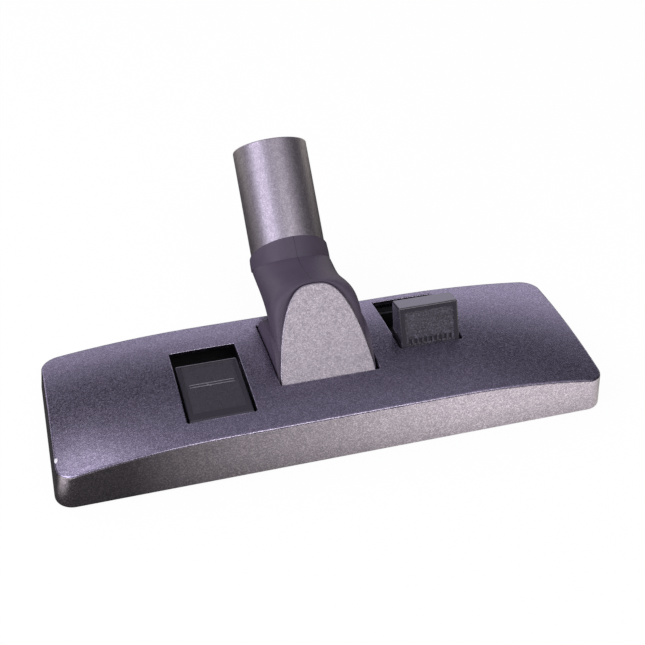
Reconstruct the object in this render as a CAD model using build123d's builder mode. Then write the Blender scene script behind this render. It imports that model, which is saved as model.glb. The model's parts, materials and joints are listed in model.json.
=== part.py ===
"""Vacuum floor head: low cover, two flip pedals, lifting brush frame, tilting neck and swivel tube.

X runs along the head, Y to the rear and Z up.  The sole rests on Z = 0.  Millimetres.
"""

import math
import os

from build123d import *

# Cover envelope
head_length = 270.0
head_depth = 90.0
corner_radius = 9.0
cover_bottom = 1.2
cover_wall = 2.2
edge_radius = 1.2
window_edge_radius = 0.5
draft_top = 40.0
end_draft = 5.2

# Heights of the cover above its own lower edge
front_mid = 27.2
front_end = 17.8
back_mid = 16.0
back_end = 9.6
crown = 3.16
shoulder = 0.40

# Openings in the cover
neck_window_half = 24.8
neck_window_front = -17.8
neck_window_back = 35.6
pedal_window_in = 38.9
pedal_window_out = 71.7
left_window_front = -(head_depth / 2 - 13.3)
left_window_back = left_window_front + 54.2
right_window_front = -5.6
right_window_back = 40.2

# Sole plate, lower housing and suction channel
sole_thick = 0.8
sole_half_length = head_length / 2 - 17.5
sole_half_depth = head_depth / 2 - 7.8
base_thick = 1.6
base_top = sole_thick + base_thick
base_half_length = head_length / 2 - cover_wall - 1.2
base_half_depth = head_depth / 2 - 7.4
slot_half_length = head_length / 2 - 27.0
slot_front = -(head_depth / 2 - 12.0)
slot_back = slot_front + 16.0
strip_width = 2.4
strip_gap = 0.6
channel_half_length = slot_half_length + 4.0
channel_front = slot_front - 3.5
channel_back = slot_back + 3.5
channel_wall = 1.5
channel_roof = 6.2

# Fits
running_fit = 0.05
press_fit = 0.02
slide_gap = 0.4
pin_gap = 0.45

# Pedals: both turn by the same angle, the left one lies down and the right one stands up
pedal_turn = 70.0
pedal_in = 40.0
pedal_out = 70.4
pedal_wall = 2.0
pedal_rise = 10.0
pedal_thick = 10.5
pedal_nose = -4.3
left_pivot = (-(head_depth / 2 - 19.6), 16.0)
left_slope = -4.9
left_reach = 37.7
left_tip_lean = -0.6
right_pivot = (0.0, 13.0)
right_slope = 64.3
right_reach = 29.6
right_tip_lean = 1.5
pedal_edge_radius = 0.8
tip_radius = 2.0
panel_depth = 0.5
panel_margin = 2.4
left_panel = (0.2, 35.2)
right_panel = (3.0, 27.2)
well_count = 9
well_pitch = 2.6
well_size = (1.5, 3.0)
well_depth = 0.8
well_at = 11.6
shaft_r = 2.5
hub_r = 5.0

# Cranks, shift slider and detent
crank_r = 7.0
crank_pin_r = 1.25
crank_hub_r = 4.6
crank_end_r = 2.5
crank_thick = 2.8
shift_crank_x = 35.6
lift_crank_x = 74.2
slider_x = 32.0
slider_thick = 3.0
slider_bottom = channel_roof + slide_gap
slider_top = 13.0
half_turn = math.radians(pedal_turn / 2)
swing = crank_r * math.sin(half_turn)
drop = crank_r * math.cos(half_turn)

# Brush frame
brush_y = head_depth / 2 - cover_wall - 2.7
brush_width = 3.0
brush_half_length = head_length / 2 - 19.0
brush_back_half = head_length / 2 - 35.0
brush_bottom = 9.0
brush_front_top = 18.0
brush_back_top = 12.6
arm_x = 78.0
arm_thick = 3.5
bristle_tip = 0.4
bristle_width = 1.8
guide_r = 2.0
guide_fit = 0.1
guide_front_y = -16.0
guide_back_y = 24.0

# Rear wheels
wheel_x = head_length / 2 - 35.0
wheel_y = head_depth / 2 - 18.0
wheel_r = 5.5
wheel_width = 5.0
wheel_z = wheel_r + 0.05
axle_r = 1.5

# Neck: a drum on the pivot, a flat front leaning back, a duct and a round collar
pivot_y = 8.7
pivot_z = 10.8
drum_r = 26.4
drum_half = 24.2
neck_wall = 2.2
hollow_r = 22.6
seat_gap = 0.05
pivot_pin_r = 4.0
cheek_in = 24.8
cheek_out = 28.4
cheek_boss_r = 7.0
face_lean = 47.3
plate_thick = 1.9
arch_half = 23.7
arch_draw = 0.15
arch_height = 44.7
arch_power = 2.87
arch_foot = -4.6
plate_foot = -9.4
front_lip_angle = 161.0
rear_lip_angle = -16.0

# Collar and tube, along the tube axis from the ring centre
tube_lean = 47.8
ring_y = 62.1
ring_z = 34.8
ring_r = 20.6
ridge_r = 20.9
rim_r = 20.4
ridge_len = 3.0
ridge_start = 0.5
rim_at = 10.9
skirt_at = 4.6
hood_from = -3.0
hood_lip = 0.4
hood_slope = (rim_at - skirt_at - hood_lip) / (rim_r - hood_from)
throat_r = 16.0
groove_r = 19.2
groove_from = 0.7
groove_to = 3.2
flange_r = 18.9
sleeve_r = 18.0
spigot_r = sleeve_r - 0.08
tube_r = 19.6
hood_bore_r = tube_r + 0.08
tube_end = 63.1
tube_throat_r = 15.6
socket_r = 17.5
socket_depth = 45.0
swivel_gap = 0.35

# Screws
boss_r = 3.6
screw_r = 1.5
screw_head_r = 2.8
screw_head = 0.7
screw_length = 8.5
screw_x = head_length / 2 - 11.0
screw_front = -(head_depth / 2 - 19.0)
screw_back = head_depth / 2 - 25.0
screw_rear = head_depth / 2 - 14.0
cover_screw_at = (
    (-screw_x, screw_front), (screw_x, screw_front), (-screw_x, screw_back), (screw_x, screw_back),
    (-33.0, screw_rear), (33.0, screw_rear),
)
cap_height = 6.6
cap_half = 9.0
cap_screw_y = 6.4
cap_screw_r = 1.0
cap_head_r = 1.7
cap_screw_length = 5.0

os.makedirs("parts", exist_ok=True)


def save(part, name):
    part.label = name
    export_step(part, f"parts/{name}.step")


def cover_height(x, y):
    """Height of the cover's outer top at a plan position."""
    end = max((abs(x) / (head_length / 2) - shoulder) / (1 - shoulder), 0.0) ** 2
    front = front_mid - (front_mid - front_end) * end
    back = back_mid - (back_mid - back_end) * end
    v = y / head_depth + 0.5
    return cover_bottom + front * (1 - v) + back * v + 4 * crown * v * (1 - v)


def above_cover(lower):
    """Everything above the cover's top surface lowered by a distance."""
    half_stations = (0.2, 0.4, 0.52, 0.64, 0.77, 0.9, 1.04)
    stations = [-k for k in reversed(half_stations)] + [0.0] + list(half_stations)
    rows = [k * head_depth / 2 for k in (-1.12, -0.67, -0.22, 0.22, 0.67, 1.12)]
    high = 2 * front_mid
    with BuildPart() as sky:
        for k in stations:
            x = k * head_length / 2
            with BuildSketch(Plane.YZ.offset(x)):
                with BuildLine():
                    top = Spline(*[(y, cover_height(x, y) - lower) for y in rows])
                    Polyline(top @ 1, (rows[-1], high), (rows[0], high), top @ 0)
                make_face()
        loft()
    return sky.part


def plan_block(inset, bottom):
    """The cover's plan outline, moved in by a wall, rising with drafted ends."""
    low = (head_length - 2 * inset, head_depth - 2 * inset)
    with BuildPart() as block:
        with BuildSketch(Plane.XY.offset(bottom)):
            RectangleRounded(low[0], low[1], corner_radius - inset)
        with BuildSketch(Plane.XY.offset(draft_top)):
            RectangleRounded(low[0] - 2 * end_draft, low[1], corner_radius - inset)
        loft()
    return block.part


def turned(pivot, slope, along, off):
    """Point given along a pedal's face and square to it, from the pedal's shaft."""
    a = math.radians(slope)
    y = pivot[0] + along * math.cos(a) - off * math.sin(a)
    z = pivot[1] + along * math.sin(a) + off * math.cos(a)
    return (y, z)


def largest_face(part, outward):
    """Largest flat face of a part that looks along a direction."""
    return part.faces().filter_by(lambda f: f.normal_at().dot(outward) > 0.999).sort_by(SortBy.AREA)[-1]


# Top cover
with BuildPart() as cavity:
    add(plan_block(cover_wall, cover_bottom))
    add(above_cover(cover_wall), mode=Mode.SUBTRACT)

with BuildPart() as top_cover:
    add(plan_block(0.0, cover_bottom))
    add(cavity.part, mode=Mode.SUBTRACT)
    with BuildSketch(Plane.XY.offset(base_top)):
        with Locations(*cover_screw_at):
            Circle(boss_r)
    extrude(amount=30)
    add(above_cover(0.0), mode=Mode.SUBTRACT)
    roof = top_cover.faces().filter_by(lambda f: f.normal_at().Z > 0.7).sort_by(SortBy.AREA)[-1]
    fillet(roof.outer_wire().edges(), edge_radius)
    with BuildSketch(Plane.XY.offset(base_top)):
        with Locations(*cover_screw_at):
            Circle(screw_r + press_fit)
    extrude(amount=screw_length - base_thick + 0.5, mode=Mode.SUBTRACT)
    with BuildSketch(Plane.XY.offset(base_top)):
        mid = (neck_window_front + neck_window_back) / 2
        with Locations((0, mid)):
            RectangleRounded(2 * neck_window_half, neck_window_back - neck_window_front, 1.0)
    extrude(amount=40, mode=Mode.SUBTRACT)
    for side, front, back, lean in (
        (-1, left_window_front, left_window_back, left_slope + pedal_turn),
        (1, right_window_front, right_window_back, right_slope),
    ):
        x0 = min(side * pedal_window_in, side * pedal_window_out)
        width = pedal_window_out - pedal_window_in
        with BuildSketch(Plane.XY.offset(base_top)):
            with Locations((x0 + width / 2, (front + back) / 2)):
                RectangleRounded(width, back - front, 1.0)
        extrude(amount=40, mode=Mode.SUBTRACT)
        level = cover_height(pedal_window_out, front) - window_edge_radius - 0.2
        under = front - 16.0 / math.tan(math.radians(lean))
        with BuildSketch(Plane.YZ.offset(x0)):
            Polygon(
                (front, level), (under, level - 16), (front + 2, level - 16), (front + 2, level), align=None
            )
        extrude(amount=width, mode=Mode.SUBTRACT)
    for window in range(3):
        roof = top_cover.faces().filter_by(lambda f: f.normal_at().Z > 0.7).sort_by(SortBy.AREA)[-1]
        fillet(roof.inner_wires().sort_by(Axis.X)[window].edges(), window_edge_radius)
save(top_cover.part, "top_cover")

# Lower housing: base, suction channel, neck pocket, posts for the shafts, guides and wheel forks
pocket_front = -20.0
pocket_back = 36.2
pocket_wall = 1.4
back_wall_half = 75.0
left_posts = (-73.6, -38.4, 28.6)
right_posts = (28.6, 71.4)
post_width = 2.2
fork_gap = 0.7
fork_wall = 2.0
rail_x = slider_x - slide_gap

with BuildPart() as chassis:
    with BuildSketch(Plane.XY.offset(sole_thick)):
        RectangleRounded(2 * base_half_length, 2 * base_half_depth, 6)
    extrude(amount=base_thick)
    with BuildSketch(Plane.XY.offset(sole_thick)):
        with Locations((0, (channel_front + channel_back) / 2)):
            Rectangle(
                2 * (channel_half_length + channel_wall), channel_back - channel_front + 2 * channel_wall
            )
    extrude(amount=channel_roof - sole_thick)
    with BuildSketch(Plane.XY.offset(base_top)):
        with Locations((0, (pocket_front + pocket_back) / 2)):
            Rectangle(2 * cheek_out, pocket_back - pocket_front + 2 * pocket_wall)
    extrude(amount=pivot_z - base_top)
    with BuildSketch(Plane.XY.offset(channel_roof)):
        with Locations((0, pocket_front - pocket_wall / 2)):
            Rectangle(2 * cheek_out, pocket_wall)
    extrude(amount=16.0 - channel_roof)
    with BuildSketch(Plane.XY.offset(base_top)):
        with Locations((0, pocket_back + pocket_wall / 2)):
            Rectangle(2 * back_wall_half, pocket_wall)
    extrude(amount=13.0 - base_top)
    # posts for the pedal shafts
    for x in left_posts:
        with BuildSketch(Plane.YZ.offset(x)):
            with Locations((left_pivot[0], (channel_roof + left_pivot[1]) / 2)):
                Rectangle(2 * hub_r, left_pivot[1] - channel_roof)
            with Locations(left_pivot):
                Circle(hub_r)
        extrude(amount=post_width)
    for x in right_posts:
        with BuildSketch(Plane.YZ.offset(x)):
            with Locations((right_pivot[0], (base_top + right_pivot[1]) / 2)):
                Rectangle(2 * hub_r, right_pivot[1] - base_top)
            with Locations(right_pivot):
                Circle(hub_r)
        extrude(amount=post_width)
    # guide rail of the shift slider with a lip over it
    with BuildSketch(Plane.YZ.offset(rail_x - 1.4)):
        Polygon(
            (-36, channel_roof), (-18.5, channel_roof), (-18.5, 14.8), (-21.5, 14.8), (-21.5, slider_top),
            (-36, slider_top), align=None,
        )
    extrude(amount=1.4)
    with BuildSketch(Plane.YZ.offset(rail_x)):
        Polygon(
            (-21.5, slider_top + slide_gap), (-18.5, slider_top + slide_gap), (-18.5, 14.8), (-21.5, 14.8),
            align=None,
        )
    extrude(amount=1.8)
    # post of the detent spring
    with Locations((37.3, -9.0, base_top)):
        Box(2.6, 3.0, 9.6, align=(Align.CENTER, Align.CENTER, Align.MIN))
    # guide posts of the brush frame
    for side in (-1, 1):
        with Locations((side * (arm_x + arm_thick / 2), guide_front_y, base_top)):
            Cylinder(guide_r, 19.0 - base_top, align=(Align.CENTER, Align.CENTER, Align.MIN))
        with Locations((side * (arm_x + arm_thick / 2), guide_back_y, base_top)):
            Cylinder(guide_r, 16.5 - base_top, align=(Align.CENTER, Align.CENTER, Align.MIN))
    # wheel forks
    for side in (-1, 1):
        for edge in (-1, 1):
            x = side * wheel_x + edge * (wheel_width / 2 + fork_gap + fork_wall / 2)
            with BuildSketch(Plane.YZ.offset(x - fork_wall / 2)):
                with Locations((wheel_y, (base_top + wheel_z) / 2)):
                    Rectangle(6.4, wheel_z - base_top)
                with Locations((wheel_y, wheel_z)):
                    Circle(3.2)
            extrude(amount=fork_wall)
    # hollow of the channel and of the neck pocket
    with BuildSketch(Plane.XY.offset(sole_thick + base_thick)):
        with Locations((0, (channel_front + channel_back) / 2)):
            Rectangle(2 * channel_half_length, channel_back - channel_front)
    extrude(amount=channel_roof - channel_wall - base_top, mode=Mode.SUBTRACT)
    with BuildSketch(Plane.XY.offset(base_top)):
        with Locations((0, (pocket_front + pocket_back) / 2)):
            Rectangle(2 * cheek_in, pocket_back - pocket_front)
    extrude(amount=12, mode=Mode.SUBTRACT)
    # suction slot with seats for the lint strips
    with BuildSketch(Plane.XY.offset(sole_thick)):
        with Locations((0, (slot_front + slot_back) / 2)):
            Rectangle(2 * slot_half_length, slot_back - slot_front)
    extrude(amount=base_thick, mode=Mode.SUBTRACT)
    # bores
    with BuildSketch(Plane.YZ.offset(-lift_crank_x - crank_thick)):
        with Locations(left_pivot, right_pivot):
            Circle(shaft_r + running_fit)
    extrude(amount=2 * (lift_crank_x + crank_thick), mode=Mode.SUBTRACT)
    with BuildSketch(Plane.YZ.offset(-cheek_out - 1)):
        with Locations((pivot_y, pivot_z)):
            Circle(pivot_pin_r + running_fit)
    extrude(amount=2 * cheek_out + 2, mode=Mode.SUBTRACT)
    with BuildSketch(Plane.YZ.offset(-wheel_x - 10)):
        with Locations((wheel_y, wheel_z)):
            Circle(axle_r + press_fit)
    extrude(amount=2 * wheel_x + 20, mode=Mode.SUBTRACT)
    with BuildSketch(Plane.XY.offset(sole_thick)):
        with Locations((-wheel_x, wheel_y), (wheel_x, wheel_y)):
            Rectangle(wheel_width + 2 * fork_gap, 2 * wheel_r + 1.6)
        with Locations(*cover_screw_at):
            Circle(screw_r + press_fit)
    extrude(amount=base_thick, mode=Mode.SUBTRACT)
    for side in (-1, 1):
        for edge in (-1, 1):
            with Locations((side * (cheek_in + cheek_out) / 2, pivot_y + edge * cap_screw_y, pivot_z)):
                Cylinder(cap_screw_r + press_fit, 2 * cap_screw_length, mode=Mode.SUBTRACT)
save(chassis.part, "chassis")

# Sole plate and lint strips
strip_front_y = slot_front - strip_gap - strip_width / 2
strip_back_y = slot_back + strip_gap + strip_width / 2

with BuildPart() as sole_plate:
    with BuildSketch():
        RectangleRounded(2 * sole_half_length, 2 * sole_half_depth, 5)
        with Locations((0, (slot_front + slot_back) / 2)):
            Rectangle(2 * slot_half_length, slot_back - slot_front, mode=Mode.SUBTRACT)
        with Locations((0, strip_front_y), (0, strip_back_y)):
            Rectangle(2 * slot_half_length + press_fit, strip_width + press_fit, mode=Mode.SUBTRACT)
        with Locations((-wheel_x, wheel_y), (wheel_x, wheel_y)):
            Rectangle(wheel_width + 2 * fork_gap, 2 * wheel_r + 1.6, mode=Mode.SUBTRACT)
        with Locations(cover_screw_at[4], cover_screw_at[5]):
            Circle(screw_head_r + 0.4, mode=Mode.SUBTRACT)
    extrude(amount=sole_thick)
save(sole_plate.part, "sole_plate")

for name, y in (("front_lint_strip", strip_front_y), ("rear_lint_strip", strip_back_y)):
    with BuildPart() as lint_strip:
        with BuildSketch():
            with Locations((0, y)):
                Rectangle(2 * slot_half_length, strip_width)
        extrude(amount=sole_thick)
    save(lint_strip.part, name)

# Pedals: hollow caps fixed on their shafts
for name, side, pivot, slope, reach, lean, panel in (
    ("left_pedal", -1, left_pivot, left_slope, left_reach, left_tip_lean, left_panel),
    ("right_pedal", 1, right_pivot, right_slope, right_reach, right_tip_lean, right_panel),
):
    x0 = min(side * pedal_in, side * pedal_out)
    width = pedal_out - pedal_in
    nose_r = math.hypot(pedal_nose, pedal_rise)
    nose = math.atan2(pedal_rise, pedal_nose)
    corner = turned(pivot, slope, pedal_nose, pedal_rise)
    bend = turned(pivot, slope, nose_r * math.cos(nose + 0.42), nose_r * math.sin(nose + 0.42))
    chin = turned(pivot, slope, nose_r * math.cos(nose + 0.84), nose_r * math.sin(nose + 0.84))
    heel = turned(pivot, slope, 1.0, -hub_r)
    foot = turned(pivot, slope, reach + lean, pedal_rise - pedal_thick)
    tip = turned(pivot, slope, reach, pedal_rise)
    with BuildPart() as pedal:
        with BuildSketch(Plane.YZ.offset(x0)):
            with BuildLine():
                ThreePointArc(corner, bend, chin)
                Polyline(
                    chin, turned(pivot, slope, -hub_r, -1.0), turned(pivot, slope, -3.4, -3.8), heel, foot,
                    tip, corner,
                )
            make_face()
        extrude(amount=width)
        with BuildSketch(Plane.YZ.offset(x0 + pedal_wall)):
            Polygon(
                turned(pivot, slope, pedal_nose + 1.4, pedal_rise - pedal_wall),
                turned(pivot, slope, reach - pedal_wall, pedal_rise - pedal_wall),
                turned(pivot, slope, reach + lean - pedal_wall, pedal_rise - pedal_thick - 3),
                turned(pivot, slope, hub_r + 1.5, -hub_r - 3),
                turned(pivot, slope, hub_r + 1.5, pedal_rise - pedal_wall - 3),
                turned(pivot, slope, pedal_nose + 1.4, pedal_rise - pedal_wall - 1),
                align=None,
            )
        extrude(amount=width - 2 * pedal_wall, mode=Mode.SUBTRACT)
        with BuildSketch(Plane.YZ.offset(x0)):
            with Locations(pivot):
                Circle(shaft_r + press_fit)
        extrude(amount=width, mode=Mode.SUBTRACT)
        # rounded rim, sunken panel and, on the right pedal, a row of small wells
        a = math.radians(slope)
        outward = Vector(0, -math.sin(a), math.cos(a))
        to_tip = Axis(Vector(0, *pivot), Vector(0, math.cos(a), math.sin(a)))
        tip_edge = largest_face(pedal, outward).edges().filter_by(Axis.X).sort_by(to_tip)[-1]
        fillet(tip_edge, tip_radius if side < 0 else pedal_edge_radius)
        fillet(largest_face(pedal, outward).edges().filter_by(Axis.X, reverse=True), pedal_edge_radius)
        on_face = Plane(
            origin=Vector(side * (pedal_in + pedal_out) / 2, *turned(pivot, slope, 0.0, pedal_rise)),
            x_dir=(1, 0, 0), z_dir=outward,
        )
        with BuildSketch(on_face):
            with Locations((0, (panel[0] + panel[1]) / 2)):
                RectangleRounded(width - 2 * panel_margin, panel[1] - panel[0], 0.8)
        extrude(amount=-panel_depth, mode=Mode.SUBTRACT)
        if side > 0:
            with BuildSketch(on_face):
                with Locations((0, well_at)):
                    with GridLocations(well_pitch, 1, well_count, 1):
                        Rectangle(*well_size)
            extrude(amount=-panel_depth - well_depth, mode=Mode.SUBTRACT)
    save(pedal.part, name)

# Pedal shafts
left_shaft_from = -lift_crank_x - crank_thick
left_shaft_to = shift_crank_x + crank_thick
right_shaft_from = right_posts[0]
right_shaft_to = lift_crank_x + crank_thick
for name, pivot, x0, x1 in (
    ("left_pedal_shaft", left_pivot, left_shaft_from, left_shaft_to),
    ("right_pedal_shaft", right_pivot, right_shaft_from, right_shaft_to),
):
    with BuildPart() as shaft:
        with BuildSketch(Plane.YZ.offset(x0)):
            with Locations(pivot):
                Circle(shaft_r)
        extrude(amount=x1 - x0)
    save(shaft.part, name)

# Cranks: two work the slider and two lift the brush frame
left_shift_pin = (left_pivot[0] - swing, left_pivot[1] - drop)
right_shift_pin = (right_pivot[0] - swing, right_pivot[1] + drop)
left_lift_pin = (left_pivot[0] - drop, left_pivot[1] + swing)
right_lift_pin = (right_pivot[0] + drop, right_pivot[1] + swing)
for name, pivot, pin, x0, pin_from, pin_to in (
    ("left_shift_crank", left_pivot, left_shift_pin, shift_crank_x, slider_x - 0.2, shift_crank_x),
    ("right_shift_crank", right_pivot, right_shift_pin, shift_crank_x, slider_x - 0.2, shift_crank_x),
    ("left_lift_crank", left_pivot, left_lift_pin, -lift_crank_x - crank_thick, -arm_x - arm_thick - 0.3,
     -lift_crank_x - crank_thick),
    ("right_lift_crank", right_pivot, right_lift_pin, lift_crank_x, lift_crank_x + crank_thick,
     arm_x + arm_thick + 0.3),
):
    with BuildPart() as crank:
        with BuildSketch(Plane.YZ.offset(x0)):
            with Locations(pivot):
                Circle(crank_hub_r)
            with Locations(pin):
                Circle(crank_end_r)
            make_hull()
            with Locations(pivot):
                Circle(shaft_r + press_fit, mode=Mode.SUBTRACT)
        extrude(amount=crank_thick)
        with BuildSketch(Plane.YZ.offset(pin_from)):
            with Locations(pin):
                Circle(crank_pin_r)
        extrude(amount=pin_to - pin_from)
    save(crank.part, name)

# Shift slider: a fork under the left shaft and a fork over the right one
notch_y = -14.0
notch_depth = 1.2
fork_half = crank_pin_r + pin_gap
stem_back = right_pivot[0] - shaft_r - 2 * swing - 1.4
stem_front = stem_back - 4.0
arm_bottom = right_pivot[1] + shaft_r + 0.5
arm_top = 22.0
with BuildPart() as shift_slider:
    with BuildSketch(Plane.YZ.offset(slider_x)):
        Polygon(
            (left_shift_pin[0] - 4.6, slider_bottom), (stem_back, slider_bottom), (stem_back, arm_bottom),
            (right_shift_pin[0] + 4.4, arm_bottom), (right_shift_pin[0] + 4.4, arm_top),
            (stem_front, arm_top), (stem_front, slider_top), (left_shift_pin[0] - 4.6, slider_top),
            align=None,
        )
        slot_top = left_shift_pin[1] + crank_pin_r + pin_gap
        with Locations((left_shift_pin[0], (slider_bottom + slot_top) / 2)):
            Rectangle(2 * fork_half, slot_top - slider_bottom, mode=Mode.SUBTRACT)
        slot_bottom = right_shift_pin[1] - crank_pin_r - pin_gap
        with Locations((right_shift_pin[0], (slot_bottom + arm_top) / 2)):
            Rectangle(2 * fork_half, arm_top - slot_bottom, mode=Mode.SUBTRACT)
    extrude(amount=slider_thick)
    face_x = slider_x + slider_thick
    with BuildSketch(Plane.XY.offset(slider_bottom)):
        for y in (notch_y, notch_y - 2 * swing):
            Polygon((face_x, y - 1.7), (face_x, y + 1.7), (face_x - notch_depth, y), align=None)
    extrude(amount=slider_top - slider_bottom, mode=Mode.SUBTRACT)
save(shift_slider.part, "shift_slider")

# Detent spring: a leaf on its post with a nose in the slider's notch
leaf_x = 36.0
leaf_thick = 0.4
with BuildPart() as detent_spring:
    with BuildSketch(Plane.XY.offset(7.6)):
        with Locations((leaf_x - leaf_thick / 2, -12.3)):
            Rectangle(leaf_thick, 8.6)
        Polygon(
            (leaf_x - leaf_thick, notch_y - 1.1), (leaf_x - leaf_thick, notch_y + 1.1),
            (face_x - notch_depth + 0.6, notch_y), align=None,
        )
    extrude(amount=4.0)
save(detent_spring.part, "detent_spring")

# Brush frame: two long holders joined by stepped side arms
left_slot = (left_pivot[0] - (crank_r + drop) / 2, left_lift_pin[1])
right_slot = (right_pivot[0] + (crank_r + drop) / 2, right_lift_pin[1])
slot_long = crank_r - drop + 2 * (crank_pin_r + pin_gap)
slot_high = 2 * (crank_pin_r + pin_gap)
with BuildPart() as brush_frame:
    with Locations((0, -brush_y, brush_bottom)):
        Box(2 * brush_half_length, brush_width, brush_front_top - brush_bottom,
            align=(Align.CENTER, Align.CENTER, Align.MIN))
    with Locations((0, brush_y, brush_bottom)):
        Box(2 * brush_back_half, brush_width, brush_back_top - brush_bottom,
            align=(Align.CENTER, Align.CENTER, Align.MIN))
    for side, slot in ((-1, left_slot), (1, right_slot)):
        x0 = min(side * arm_x, side * (arm_x + arm_thick))
        with BuildSketch(Plane.YZ.offset(x0)):
            Polygon(
                (-brush_y, 14.8), (-10.4, 14.8), (-8.0, 11.0), (brush_y, 11.0), (brush_y, brush_back_top),
                (30.0, 14.2), (-6.4, 14.6), (-9.0, brush_front_top), (-brush_y, brush_front_top),
                align=None,
            )
            with Locations(slot):
                RectangleRounded(slot_long + 4.0, slot_high + 4.0, 1.5)
            with Locations(slot):
                SlotOverall(slot_long, slot_high, mode=Mode.SUBTRACT)
        extrude(amount=arm_thick)
        x_mid = x0 + arm_thick / 2
        with Locations((x_mid, guide_front_y, 14.8)):
            Cylinder(4.0, 3.2, align=(Align.CENTER, Align.CENTER, Align.MIN))
        with Locations((x_mid, guide_back_y, 11.0)):
            Cylinder(4.0, 3.2, align=(Align.CENTER, Align.CENTER, Align.MIN))
        with Locations((x_mid, guide_front_y, 20.0), (x_mid, guide_back_y, 12.0)):
            Cylinder(guide_r + guide_fit, 20.0, mode=Mode.SUBTRACT)
save(brush_frame.part, "brush_frame")

for name, y, half in (
    ("front_bristles", -brush_y, brush_half_length),
    ("rear_bristles", brush_y, brush_back_half),
):
    with BuildPart() as bristles:
        with Locations((0, y, bristle_tip)):
            Box(2 * half - 4, bristle_width, brush_bottom - bristle_tip,
                align=(Align.CENTER, Align.CENTER, Align.MIN))
    save(bristles.part, name)

# Rear wheels and axles
for name, side in (("left", -1), ("right", 1)):
    with BuildPart() as wheel:
        with BuildSketch(Plane.YZ.offset(side * wheel_x - wheel_width / 2)):
            with Locations((wheel_y, wheel_z)):
                Circle(wheel_r)
                Circle(axle_r + running_fit, mode=Mode.SUBTRACT)
        extrude(amount=wheel_width)
        fillet(wheel.edges().filter_by(GeomType.CIRCLE).filter_by(lambda e: e.radius > 4), 0.6)
    save(wheel.part, f"{name}_wheel")
    axle_half = wheel_width / 2 + fork_gap + fork_wall
    with BuildPart() as axle:
        with BuildSketch(Plane.YZ.offset(side * wheel_x - axle_half)):
            with Locations((wheel_y, wheel_z)):
                Circle(axle_r)
        extrude(amount=2 * axle_half)
    save(axle.part, f"{name}_axle")

# Neck body
lean = math.radians(face_lean)
face_dir = Vector(0, math.cos(lean), math.sin(lean))
face_out = Vector(0, -math.sin(lean), math.cos(lean))
neck_pivot = Vector(0, pivot_y, pivot_z)
tube_a = math.radians(tube_lean)
tube_dir = Vector(0, math.sin(tube_a), math.cos(tube_a))
collar_up = Vector(0, -tube_dir.Z, tube_dir.Y)
ring = Vector(0, ring_y, ring_z)
tube_plane = Plane(origin=ring, x_dir=(1, 0, 0), z_dir=tube_dir)


def arch_width(t):
    """Half width of the front face at a distance up its slope from the drum's tangent line."""
    if t <= arch_foot:
        return arch_half
    s = t - arch_foot
    return (arch_half - arch_draw * s) * max(1 - (s / arch_height) ** arch_power, 0.0) ** (1 / arch_power)


def arch_points(inset, foot):
    """Points over the arch from its left foot to its right foot, as (x, t)."""
    top = arch_foot + arch_height
    steps = [math.sin(math.pi / 2 * i / 12) for i in range(13)]
    left = [(-(arch_width(foot + (top - foot) * k) - inset * (1 - k)), foot + (top - inset - foot) * k)
            for k in steps]
    left[-1] = (0.0, top - inset)
    return left + [(-x, t) for x, t in reversed(left[:-1])]


# Duct sections behind the arch: top and bottom in the middle plane, half width and roundness
arch_top = neck_pivot + face_dir * (arch_foot + arch_height) + face_out * (drum_r - plate_thick)
duct = (
    ((arch_top.Y + 9.1, arch_top.Z - 2.0), (20.0, 22.4), 21.6, 2.7),
    ((arch_top.Y + 20.6, arch_top.Z - 5.5), (46.5, 20.7), 20.4, 2.25),
)


def neck_solid(inset, face_at, end_r):
    """Loft from the arch through the duct sections to the collar circle."""
    with BuildPart() as body:
        base = Plane(origin=neck_pivot + face_out * face_at, x_dir=(1, 0, 0), z_dir=face_out)
        with BuildSketch(base):
            with BuildLine():
                arch = Spline(*arch_points(inset, plate_foot + inset))
                Spline(arch @ 1, (0.0, plate_foot + inset), arch @ 0)
            make_face()
        ring_up = collar_up * (end_r + inset)
        collar_end = (
            (ring.Y + ring_up.Y, ring.Z + ring_up.Z), (ring.Y - ring_up.Y, ring.Z - ring_up.Z),
            end_r + inset, 2.0,
        )
        last = duct[-1]
        halfway = (
            ((last[0][0] + collar_end[0][0]) / 2, (last[0][1] + collar_end[0][1]) / 2),
            ((last[1][0] + collar_end[1][0]) / 2, (last[1][1] + collar_end[1][1]) / 2),
            (last[2] + collar_end[2]) / 2, (last[3] + collar_end[3]) / 2,
        )
        for top, bottom, half, power in (*duct, halfway, collar_end):
            up = Vector(0, top[0] - bottom[0], top[1] - bottom[1])
            high = up.length / 2 - inset
            mid = Vector(0, (top[0] + bottom[0]) / 2, (top[1] + bottom[1]) / 2)
            up = up.normalized()
            with BuildSketch(Plane(origin=mid, x_dir=(1, 0, 0), z_dir=(0, -up.Z, up.Y))):
                with BuildLine():
                    rim = []
                    for i in range(25):
                        a = math.radians(225 - 270 * i / 24)
                        c, s = math.cos(a), math.sin(a)
                        rim.append((math.copysign(abs(c) ** (2 / power), c) * (half - inset),
                                    math.copysign(abs(s) ** (2 / power), s) * high))
                    low = Spline(*rim)
                    Spline(low @ 1, (0.0, -high), low @ 0)
                make_face()
        loft()
    return body.part


def drum_solid(radius, half):
    with BuildPart() as drum:
        with BuildSketch(Plane.YZ.offset(-half)):
            with Locations((pivot_y, pivot_z)):
                Circle(radius)
        extrude(amount=2 * half)
    return drum.part


face_back = drum_r - plate_thick
front_lip = math.radians(front_lip_angle)
rear_lip = math.radians(rear_lip_angle)
front_cut = (pivot_y + drum_r * math.cos(front_lip), pivot_z + drum_r * math.sin(front_lip))
rear_cut = (pivot_y + drum_r * math.cos(rear_lip), pivot_z + drum_r * math.sin(rear_lip))

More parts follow.
